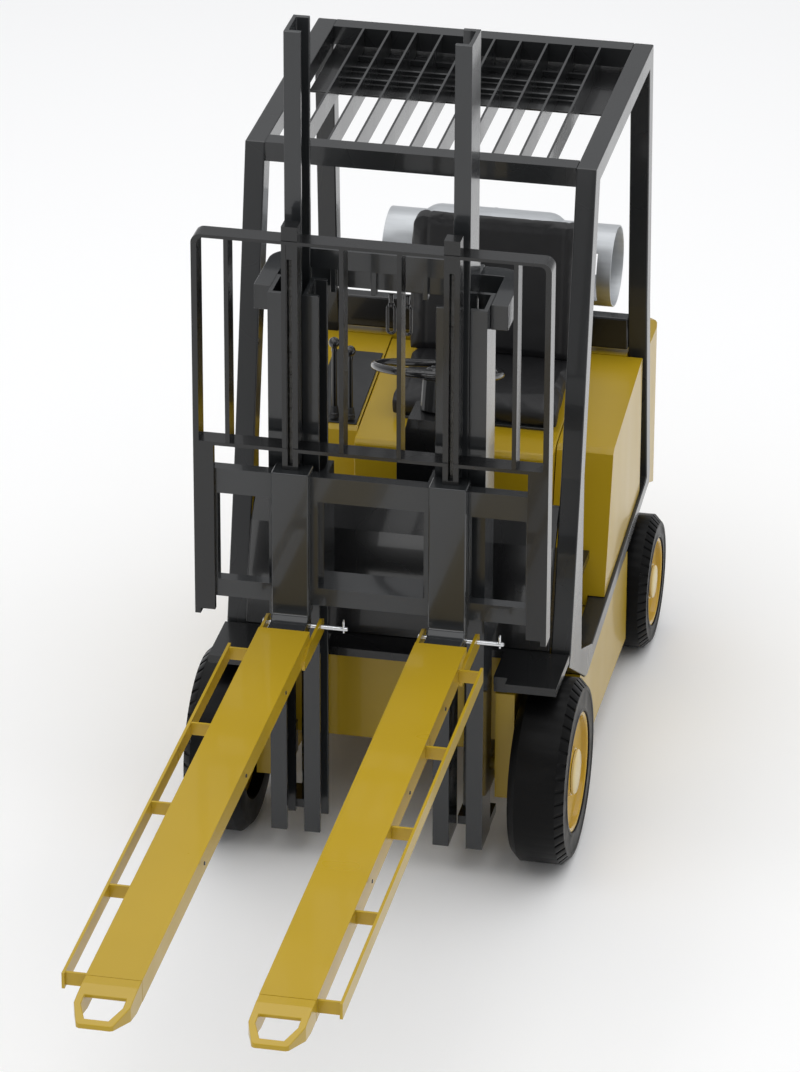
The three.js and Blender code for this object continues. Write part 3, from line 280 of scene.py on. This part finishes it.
finish = {
    "yellow_paint": yellow_enamel(), "black_paint": black_enamel(), "mast_paint": mast_enamel(),
    "guard_paint": guard_enamel(), "rim_paint": rim_enamel(), "cap_paint": cap_enamel(),
    "cylinder_silver": cylinder_silver(), "bright_steel": bright_steel(), "chain": oiled_steel(),
    "tyre": tyre_rubber(), "black_vinyl": black_vinyl(), "black_plastic": black_plastic(),
    "pad_rubber": pad_rubber(),
}


# ---------------------------------------------------------------- workbench

def clear_selection():
    if bpy.context.object and bpy.context.object.mode != "OBJECT":
        bpy.ops.object.mode_set(mode="OBJECT")
    bpy.ops.object.select_all(action="DESELECT")


def hold(piece):
    clear_selection()
    piece.select_set(True)
    bpy.context.view_layer.objects.active = piece


def pick_faces(piece, wanted):
    """Edit mode, with only the faces that pass wanted(centre, normal) selected."""
    hold(piece)
    bpy.ops.object.mode_set(mode="EDIT")
    bpy.ops.mesh.select_mode(type="FACE")
    bpy.ops.mesh.select_all(action="DESELECT")
    mesh = bmesh.from_edit_mesh(piece.data)
    for face in mesh.faces:
        if wanted(face.calc_center_median(), face.normal):
            face.select_set(True)
    bmesh.update_edit_mesh(piece.data)


def apply_modifier(piece, kind, **settings):
    hold(piece)
    modifier = piece.modifiers.new(kind.lower(), kind)
    for key, value in settings.items():
        setattr(modifier, key, value)
    bpy.ops.object.modifier_apply(modifier=modifier.name)


def ease_edges(piece, width, segments=2, angle=35):
    apply_modifier(piece, "BEVEL", width=width, segments=segments, limit_method="ANGLE",
                   angle_limit=math.radians(angle))


def settle(piece):
    hold(piece)
    bpy.ops.object.transform_apply(location=True, rotation=True, scale=True)


def complete(piece, name, body, slot, material=None, smooth=35, replaces=()):
    settle(piece)
    piece.name = piece.data.name = name
    piece.data.materials.clear()
    piece.data.materials.append(material or finish[slot])
    bpy.ops.object.shade_smooth_by_angle(angle=math.radians(smooth))
    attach(piece, body)
    if replaces:
        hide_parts(*replaces)


def joined(pieces):
    clear_selection()
    for piece in pieces:
        piece.select_set(True)
    bpy.context.view_layer.objects.active = pieces[0]
    bpy.ops.object.join()
    return bpy.context.object


def block(low, high):
    clear_selection()
    low, high = Vector(low), Vector(high)
    bpy.ops.mesh.primitive_cube_add(size=1, location=(low + high) / 2, scale=high - low)
    piece = bpy.context.object
    settle(piece)
    return piece


def bar(start, end, radius, sides=24, tip=None, ease=0.0):
    """A round bar from start to end, narrowing to tip."""
    clear_selection()
    start, end = Vector(start), Vector(end)
    along = end - start
    bpy.ops.mesh.primitive_cone_add(vertices=sides, radius1=radius, depth=along.length,
                                    radius2=radius if tip is None else tip, location=(start + end) / 2,
                                    rotation=along.to_track_quat("Z", "Y").to_euler())
    piece = bpy.context.object
    settle(piece)
    if ease:
        ease_edges(piece, ease)
    return piece


def turned(outline, centre, steps=TURN_STEPS):
    """A closed outline of (x, radius) points spun once round a line along X through centre."""
    clear_selection()
    bpy.ops.mesh.primitive_circle_add(vertices=len(outline), radius=0.1)
    piece = bpy.context.object
    for vertex, (x, radius) in zip(piece.data.vertices, outline):
        vertex.co = (x, 0, radius)
    bpy.ops.object.mode_set(mode="EDIT")
    bpy.ops.mesh.select_all(action="SELECT")
    bpy.ops.mesh.spin(steps=steps, angle=math.tau, center=(0, 0, 0), axis=(1, 0, 0))
    bpy.ops.mesh.select_all(action="SELECT")
    bpy.ops.mesh.remove_doubles(threshold=MERGE_DISTANCE)
    bpy.ops.mesh.delete_loose()
    bpy.ops.mesh.select_all(action="SELECT")
    bpy.ops.mesh.normals_make_consistent(inside=False)
    bpy.ops.object.mode_set(mode="OBJECT")
    piece.location = (0, *centre)
    settle(piece)
    return piece


# ---------------------------------------------------------------- wheels

def wheel_sizes(node):
    """Centre (y, z), radius, inner and outer face of a wheel, from its tyre."""
    low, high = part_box(node)
    radius = (high.z - low.z) / 2
    faces = sorted((low.x, high.x), key=abs)
    return ((low.y + high.y) / 2, (low.z + high.z) / 2), radius, faces[0], faces[1]


def make_tyre(place, side, body):
    node = f"{place}_tyre_{side}"
    centre, radius, inner, outer = wheel_sizes(node)
    seat = rim_radius(place, side) + RIM_GAP
    out = 1 if side == "left" else -1
    edge = 0.024
    dished = outer - out * 0.002
    outline = [
        (inner, seat), (inner, radius - edge), (inner + out * edge, radius),
        (outer - out * edge, radius), (outer, radius - edge), (outer, radius - edge - 0.012),
        (dished, radius - edge - 0.014), (dished, seat + 0.012), (outer, seat + 0.010), (outer, seat),
    ]
    tyre = turned(outline, centre, SHOULDER_NOTCHES * FACES_A_NOTCH)
    cut_notches(tyre, centre, radius, edge, (inner + outer) / 2)
    ease_edges(tyre, 0.0022, 2, 30)
    complete(tyre, f"{node}_moulded", body, "tyre", replaces=(node,), smooth=40)


def cut_notches(tyre, centre, radius, edge, middle_x):
    """Short cross grooves round the outer shoulder of the tread."""
    step = math.tau / (SHOULDER_NOTCHES * FACES_A_NOTCH)

    def on_shoulder(middle, normal):
        y, z = middle.y - centre[0], middle.z - centre[1]
        far = math.hypot(y, z)
        slot = round((math.atan2(z, y) + math.pi) / step - 0.5)
        outer_half = abs(middle.x) > abs(middle_x)
        return radius - edge < far < radius - 0.001 and outer_half and slot % FACES_A_NOTCH == 0

    pick_faces(tyre, on_shoulder)
    bpy.ops.mesh.extrude_region_shrink_fatten(TRANSFORM_OT_shrink_fatten={"value": -NOTCH_DEPTH})
    bpy.ops.object.mode_set(mode="OBJECT")


def rim_radius(place, side):
    low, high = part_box(f"{place}_rim_{side}")
    return (high.z - low.z) / 2


def make_rim(place, side, body):
    centre, _, _, outer = wheel_sizes(f"{place}_tyre_{side}")
    node = f"{place}_rim_{side}"
    low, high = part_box(node)
    back = low.x if side == "left" else high.x
    out = 1 if side == "left" else -1
    seat = rim_radius(place, side)
    hub = seat * 0.37

    def face(depth):
        return outer - out * depth

    outline = [
        (back, 0), (back, seat), (face(0.006), seat), (face(0.004), seat - 0.003),
        (face(0.004), seat - 0.010), (face(0.008), seat - 0.014), (face(0.022), seat - 0.017),
        (face(0.026), seat - 0.022), (face(0.052), hub + 0.030), (face(0.052), hub + 0.018),
        (face(0.014), hub + 0.004), (face(0.012), 0),
    ]
    rim = turned(outline, centre)
    ease_edges(rim, 0.0015, 2, 25)
    complete(rim, f"{node}_turned", body, "rim_paint", replaces=(node,), smooth=40)
    cap = turned([(face(0.0119), 0), (face(0.0119), hub), (face(0.006), hub), (face(0.003), hub - 0.004),
                  (face(0.002), hub * 0.5), (face(0.002), 0)], centre)
    complete(cap, f"{place}_hub_cap_{side}", body, "rim_paint", finish["cap_paint"], smooth=45)


# ---------------------------------------------------------------- gas cylinder

def make_cylinder():
    low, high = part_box("gas_cylinder")
    radius = (high.z - low.z) / 2
    axis = ((low.y + high.y) / 2, (low.z + high.z) / 2)
    left, right = -0.292, 0.226
    dome_depth = 0.085
    wall = 0.005
    ring_radius = radius - 0.022
    shell = [(left, 0)]
    shell += dome(left, dome_depth, radius, 9)
    shell += [(-0.040, radius - 0.0012), (-0.036, radius), (-0.030, radius), (-0.026, radius - 0.0012)]
    shell += reversed(dome(right, -dome_depth, radius, 9))
    shell += [(right, 0)]
    body = turned(shell, axis)
    collar = guard_ring(right - 0.050, high.x, ring_radius, axis, wall, windows=True)
    foot = guard_ring(low.x, left + 0.045, ring_radius, axis, wall, windows=False)
    valve = bar((right - 0.01, *axis), (right + 0.040, *axis), 0.017, 24, 0.014, 0.001)
    whole = joined([body, collar, foot])
    complete(whole, "gas_cylinder_shell", "chassis", "cylinder_silver",
             replaces=("gas_cylinder",), smooth=40)
    wheel = turned([(right + 0.040, 0), (right + 0.040, 0.022), (right + 0.046, 0.026),
                    (right + 0.054, 0.026), (right + 0.060, 0.022), (right + 0.060, 0)], axis, 32)
    complete(joined([valve, wheel]), "cylinder_valve", "chassis", "bright_steel")


def dome(end, depth, radius, count):
    """The rounded end of a pressed shell, from near the axis out to the side."""
    points = []
    for i in range(1, count + 1):
        angle = math.radians(90 * i / count)
        bulge = math.sin(angle) ** 0.8
        points.append((end + depth * (1 - math.cos(angle)), (radius - 0.0012) * bulge))
    return points


def guard_ring(x0, x1, radius, axis, wall, windows):
    """A rolled ring round the end of the cylinder; the collar has hand windows."""
    clear_selection()
    bpy.ops.mesh.primitive_cylinder_add(vertices=64, radius=radius, depth=x1 - x0,
                                        end_fill_type="NOTHING", location=((x0 + x1) / 2, *axis),
                                        rotation=(0, math.pi / 2, 0))
    ring = bpy.context.object
    settle(ring)
    if windows:
        window_start, window_end = x1 - 0.105, x1 - 0.045
        for x in (window_start, window_end):
            bpy.ops.object.mode_set(mode="EDIT")
            bpy.ops.mesh.select_all(action="SELECT")
            bpy.ops.mesh.bisect(plane_co=(x, 0, 0), plane_no=(1, 0, 0))
            bpy.ops.object.mode_set(mode="OBJECT")

        def in_window(middle, normal):
            return window_start < middle.x < window_end and abs(middle.z - axis[1]) < radius * 0.62

        pick_faces(ring, in_window)
        bpy.ops.mesh.delete(type="FACE")
        bpy.ops.object.mode_set(mode="OBJECT")
    apply_modifier(ring, "SOLIDIFY", thickness=wall, offset=-1)
    ease_edges(ring, 0.0015, 2)
    return ring


# ---------------------------------------------------------------- driver's place

def make_steering_wheel():
    centre = Vector((0.020, 0.960, 1.275))
    lean = math.asin(-0.342)
    clear_selection()
    bpy.ops.mesh.primitive_torus_add(major_segments=96, minor_segments=20, major_radius=0.1915,
                                     minor_radius=0.0125)
    parts = [bpy.context.object]
    parts += [make_spoke(math.radians(angle)) for angle in (90, 210, 330)]
    hub = bar((0, 0, -0.022), (0, 0, 0.006), 0.040, 48, 0.034, 0.004)
    horn = bar((0, 0, 0.006), (0, 0, 0.012), 0.022, 40, 0.019, 0.002)
    wheel = joined(parts + [hub, horn])
    wheel.rotation_euler = (lean, 0, 0)
    wheel.location = centre
    complete(wheel, "steering_wheel_moulded", "steering_wheel", "black_plastic",
             replaces=("steering_wheel",), smooth=40)


def make_spoke(angle):
    spoke = block((0.030, -0.015, -0.009), (0.188, 0.015, 0.001))
    pick_faces(spoke, lambda middle, normal: normal.x > 0.9)
    bpy.ops.transform.resize(value=(1, 0.72, 1), center_override=(0.188, 0, 0))
    bpy.ops.transform.translate(value=(0, 0, 0.004))
    bpy.ops.object.mode_set(mode="OBJECT")
    ease_edges(spoke, 0.0035, 3)
    spoke.rotation_euler = (0, 0, angle)
    settle(spoke)
    return spoke


def make_lever(node, body):
    low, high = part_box(node)
    x, y = (low.x + high.x) / 2, 1.265
    knob_r = 0.0175
    clear_selection()
    bpy.ops.mesh.primitive_uv_sphere_add(segments=32, ring_count=20, radius=knob_r,
                                         location=(x, y, high.z - knob_r))
    knob = bpy.context.object
    settle(knob)
    stem_r = 0.0095
    neck = high.z - 0.030
    ferrule = bar((x, y, high.z - 0.046), (x, y, neck), stem_r, 24, 0.008, 0.001)
    stem = bar((x, y, low.z + 0.01), (x, y, neck), stem_r, 24, 0.007)
    complete(joined([knob, ferrule]), f"{node}_knob", body, "black_plastic", smooth=50)
    complete(stem, f"{node}_stem", body, "black_paint", replaces=(node,))
    folds = [(0.015, 0.009), (0.016, 0.013), (0.0135, 0.017), (0.0155, 0.022), (0.0125, 0.026),
             (0.014, 0.031), (0.0115, 0.035), (0.0125, 0.040), (0.0095, 0.046)]
    boot = turned_up(x, y, low.z, folds)
    complete(boot, f"{node}_boot", body, "pad_rubber", smooth=50)


def turned_up(x, y, z, outline):
    """A stack of (radius, height) rings, closed at both ends, with heights from z."""
    clear_selection()
    bpy.ops.mesh.primitive_cylinder_add(vertices=40, radius=outline[0][0], depth=0.002,
                                        location=(0, 0, outline[0][1] - 0.001))
    piece = bpy.context.object
    settle(piece)
    last = outline[0]
    for ring in outline[1:]:
        top = last[1]
        pick_faces(piece, lambda middle, normal: normal.z > 0.9 and middle.z > top - 0.0003)
        bpy.ops.mesh.extrude_region_move(TRANSFORM_OT_translate={"value": (0, 0, ring[1] - last[1])})
        scale = ring[0] / last[0]
        bpy.ops.transform.resize(value=(scale, scale, 1), center_override=(0, 0, ring[1]))
        bpy.ops.object.mode_set(mode="OBJECT")
        last = ring
    piece.location = (x, y, z)
    settle(piece)
    return piece


# ---------------------------------------------------------------- seat

def pad_blank(node, shrink):
    """A copy of the seat's solid, a little smaller, ready to be blown up."""
    clear_selection()
    pad = bpy.data.objects.new(node + "_pad", nodes[node].data.copy())
    bpy.context.scene.collection.objects.link(pad)
    middle = sum(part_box(node), Vector()) / 2
    smaller = Matrix.Diagonal((*shrink, 1))
    pad.data.transform(Matrix.Translation(middle) @ smaller @ Matrix.Translation(-middle))
    hold(pad)
    bpy.ops.object.mode_set(mode="EDIT")
    bpy.ops.mesh.select_all(action="SELECT")
    bpy.ops.mesh.remove_doubles(threshold=MERGE_DISTANCE)
    bpy.ops.object.mode_set(mode="OBJECT")
    if pad.data.has_custom_normals:
        bpy.ops.mesh.customdata_custom_splitnormals_clear()
    ease_edges(pad, 0.012, 4, 40)
    apply_modifier(pad, "REMESH", mode="VOXEL", voxel_size=PAD_VOXEL)
    return pad


def blow_up(pad, pressure, cap):
    start = [vertex.co.copy() for vertex in pad.data.vertices]
    hold(pad)
    cloth = pad.modifiers.new("stuffing", "CLOTH")
    cloth.settings.use_pressure = True
    cloth.settings.uniform_pressure_force = pressure
    cloth.settings.effector_weights.gravity = 0
    for step in range(1, CLOTH_FRAMES + 1):
        bpy.context.scene.frame_set(step)
    bpy.ops.object.modifier_apply(modifier=cloth.name)
    bpy.context.scene.frame_set(1)
    for vertex, before in zip(pad.data.vertices, start):
        move = vertex.co - before
        if move.length > cap:
            vertex.co = before + move * (cap / move.length)


def sew(pad, seams, depth, width):
    """Draws the skin in along each seam. A seam gives a point's distance from its stitches."""
    normals = [vertex.normal.copy() for vertex in pad.data.vertices]
    for vertex, normal in zip(pad.data.vertices, normals):
        for seam in seams:
            away = abs(seam(vertex.co))
            if away < width:
                vertex.co -= normal * depth * (1 - away / width) ** 2


def keep_inside(pad, low, high):
    for vertex in pad.data.vertices:
        for axis in range(3):
            vertex.co[axis] = min(max(vertex.co[axis], low[axis]), high[axis])


def make_pad(node, shrink, pressure, cap, seams):
    low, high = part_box(node)
    pad = pad_blank(node, shrink)
    blow_up(pad, pressure, cap)
    keep_inside(pad, low - Vector((0.004, 0.0, 0.0)), high + Vector((0.004, 0.0, 0.006)))
    sew(pad, seams, SEAM_DEPTH, SEAM_WIDTH)
    apply_modifier(pad, "SUBSURF", levels=1, render_levels=1)
    complete(pad, node + "_upholstered", "seat", "black_vinyl", replaces=(node,), smooth=80)


def make_seat():
    cushion_low, cushion_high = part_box("seat_cushion")
    inset = 0.052
    make_pad("seat_cushion", (0.975, 0.97, 0.9), 3, 0.022, [
        lambda p: p.x - (cushion_low.x + inset), lambda p: p.x - (cushion_high.x - inset),
    ])
    back_low, back_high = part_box("seat_back")
    make_pad("seat_back", (0.985, 0.90, 0.985), 1.5, 0.008, [
        lambda p: p.x - (back_low.x + inset), lambda p: p.x - (back_high.x - inset),
    ])


# ---------------------------------------------------------------- mast and carriage

def make_chain(side):
    """Leaf chain: pairs of outer plates and single inner plates on pins, down the mast."""
    node = f"lift_chain_{side}"
    low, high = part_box(node)
    middle = (low + high) / 2
    count = int((high.z - low.z) / CHAIN_PITCH)
    wide = (high.x - low.x) / 2
    deep = (high.y - low.y) / 2
    plates = []
    start = low.z + CHAIN_PITCH / 2
    outer = link_plate(wide * 0.30, deep)
    for i in range(count):
        offsets = (-0.72, 0.0, 0.72) if i % 2 else (-0.36, 0.36)
        for offset in offsets:
            plate = outer.copy()
            plate.data = outer.data.copy()
            bpy.context.scene.collection.objects.link(plate)
            plate.location = (middle.x + offset * wide * 0.95, middle.y, start + i * CHAIN_PITCH)
            plates.append(plate)
    bpy.data.objects.remove(outer)
    core_x, core_y = wide * 0.9, deep * 0.3
    core = block((middle.x - core_x, middle.y - core_y, low.z),
                 (middle.x + core_x, middle.y + core_y, high.z))
    chain = joined([core] + plates)
    complete(chain, f"leaf_chain_{side}", "carriage", "bright_steel", finish["chain"],
             replaces=(node,), smooth=30)


def link_plate(thick, deep):
    clear_selection()
    bpy.ops.mesh.primitive_cylinder_add(vertices=10, radius=deep, depth=thick * 0.8,
                                        rotation=(0, math.pi / 2, 0))
    plate = bpy.context.object
    settle(plate)
    pick_faces(plate, lambda middle, normal: abs(normal.x) < 0.5 and middle.z > 0.002)
    bpy.ops.transform.translate(value=(0, 0, 0.0045))
    bpy.ops.object.mode_set(mode="OBJECT")
    return plate


def make_hose_loops():
    """Two glossy hose loops that hang under the mast's top yoke."""
    yoke_low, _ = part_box("mast_yoke")
    for name, x in (("left", 0.036), ("right", -0.012)):
        y = 0.418
        top = yoke_low.z - 0.010
        loop = loop_ring(0.011, 0.0045, 0.088)
        loop.location = (x, y, top - 0.070)
        settle(loop)
        stem = bar((x, y, top - 0.028), (x, y, yoke_low.z), 0.006, 20, 0.0075, 0.001)
        collar = bar((x, y, top - 0.030), (x, y, top - 0.018), 0.009, 24, 0.009, 0.0015)
        complete(joined([loop, stem, collar]), f"yoke_loop_{name}", "mast_outer", "black_plastic",
                 smooth=45)


def loop_ring(radius, thick, height):
    clear_selection()
    bpy.ops.mesh.primitive_torus_add(major_segments=48, minor_segments=14, major_radius=radius,
                                     minor_radius=thick, rotation=(math.pi / 2, 0, 0))
    ring = bpy.context.object
    settle(ring)
    half = height / 2 - radius
    for vertex in ring.data.vertices:
        vertex.co.z += math.copysign(half, vertex.co.z)
    return ring


def make_pin(side):
    """Retaining pin: turned rod with a flanged head and a lynch pin through its free end."""
    node = f"retaining_pin_{side}"
    low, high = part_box(node)
    y, z = (low.y + high.y) / 2, (low.z + high.z) / 2
    shank = 0.0065
    head = (high.y - low.y) / 2
    eased = head * 0.86
    outline = [(low.x, 0), (low.x, eased), (low.x + 0.0015, head), (low.x + 0.008, head),
               (low.x + 0.0095, eased), (low.x + 0.0095, shank), (high.x - 0.003, shank),
               (high.x, shank * 0.7), (high.x, 0)]
    rod = turned(outline, (y, z), 40)
    ring_x = high.x - 0.012
    lynch = bar((ring_x, y, z - 0.013), (ring_x, y, z + 0.030), 0.0028, 16, 0.0024, 0.0006)
    clear_selection()
    bpy.ops.mesh.primitive_torus_add(major_segments=40, minor_segments=10, major_radius=0.0115,
                                     minor_radius=0.0016, location=(ring_x, y - 0.011, z + 0.020),
                                     rotation=(0, math.pi / 2, 0.25))
    ring = bpy.context.object
    settle(ring)
    complete(joined([rod, lynch, ring]), f"retaining_pin_{side}_turned", f"pin_{side}", "bright_steel",
             replaces=(node,), smooth=40)


def make_sleeve_screws(side):
    """Small screws along the side of a sleeve that faces +X."""
    _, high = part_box(f"sleeve_{side}")
    z = high.z - 0.020
    screws = []
    for back in (0.50, 1.00, 1.50):
        y = high.y - back
        screws.append(bar((high.x - 0.002, y, z), (high.x + 0.0008, y, z), 0.006, 24, 0.005))
    complete(joined(screws), f"sleeve_screws_{side}", f"fork_{side}", "black_paint", smooth=30)


# ---------------------------------------------------------------- frame parts that keep their solids

EDGE = {
    "sleeve": 0.005, "sleeve_tip": 0.004, "side_rail": 0.003, "hull": 0.004, "counterweight": 0.012,
    "bonnet": 0.008, "side_cover": 0.020, "console_pad": 0.006, "steering_pedestal": 0.005,
    "front_cowl": 0.004, "floor_plate": 0.003, "guard_side": 0.006, "guard_roof_panel": 0.002,
    "guard_roof_grille": 0.002, "guard_rear_crossbar": 0.006, "load_backrest": 0.004, "carriage": 0.003,
    "fork": 0.004, "mast": 0.002, "cylinder_cradle": 0.003, "seat_frame": 0.002, "lift_barrel": 0.002,
    "rear_knuckle": 0.003,
}
GUARD_PARTS = ("guard_side", "guard_roof_grille")
YELLOW_PARTS = ("sleeve", "side_rail", "hull", "counterweight", "bonnet", "side_cover")
DARK_PARTS = ("front_cowl", "floor_plate", "guard_roof_panel", "guard_rear_crossbar",
              "steering_pedestal", "load_backrest")


def finish_of(name):
    if name.startswith(GUARD_PARTS):
        return finish["guard_paint"]
    if name.startswith(YELLOW_PARTS):
        return finish["yellow_paint"]
    if name.startswith(DARK_PARTS):
        return finish["black_paint"]
    if name == "console_pad":
        return finish["pad_rubber"]
    return finish["mast_paint"]


def edge_of(name):
    fitting = [key for key in EDGE if name.startswith(key)]
    return EDGE[max(fitting, key=len)] if fitting else PLAIN_EDGE


def dress(node):
    """Paints a frame part and takes the sharpness off its edges."""
    if not node.material_slots:
        node.data.materials.append(None)
    for slot in node.material_slots:
        slot.material = finish_of(node.name)
    weld = node.modifiers.new("weld", "WELD")
    weld.merge_threshold = 2 * MERGE_DISTANCE
    flat = node.modifiers.new("flat", "DECIMATE")
    flat.decimate_type = "DISSOLVE"
    flat.angle_limit = math.radians(0.5)
    bevel = node.modifiers.new("edges", "BEVEL")
    bevel.width = edge_of(node.name)
    bevel.segments = 3
    bevel.limit_method = "ANGLE"
    bevel.angle_limit = math.radians(30)


# ---------------------------------------------------------------- assembly

place_camera()
light_studio()
lay_floor()

for side in ("left", "right"):
    make_tyre("front", side, f"front_wheel_{side}")
    make_tyre("rear", side, f"rear_wheel_{side}")
    make_rim("front", side, f"front_wheel_{side}")
    make_rim("rear", side, f"rear_wheel_{side}")
    make_chain(side)
    make_pin(side)
    make_sleeve_screws(side)
make_cylinder()
make_steering_wheel()
make_lever("lever_1", "lift_lever")
make_lever("lever_2", "tilt_lever")
make_seat()
make_hose_loops()

for node in nodes.values():
    if not node.hide_render:
        dress(node)
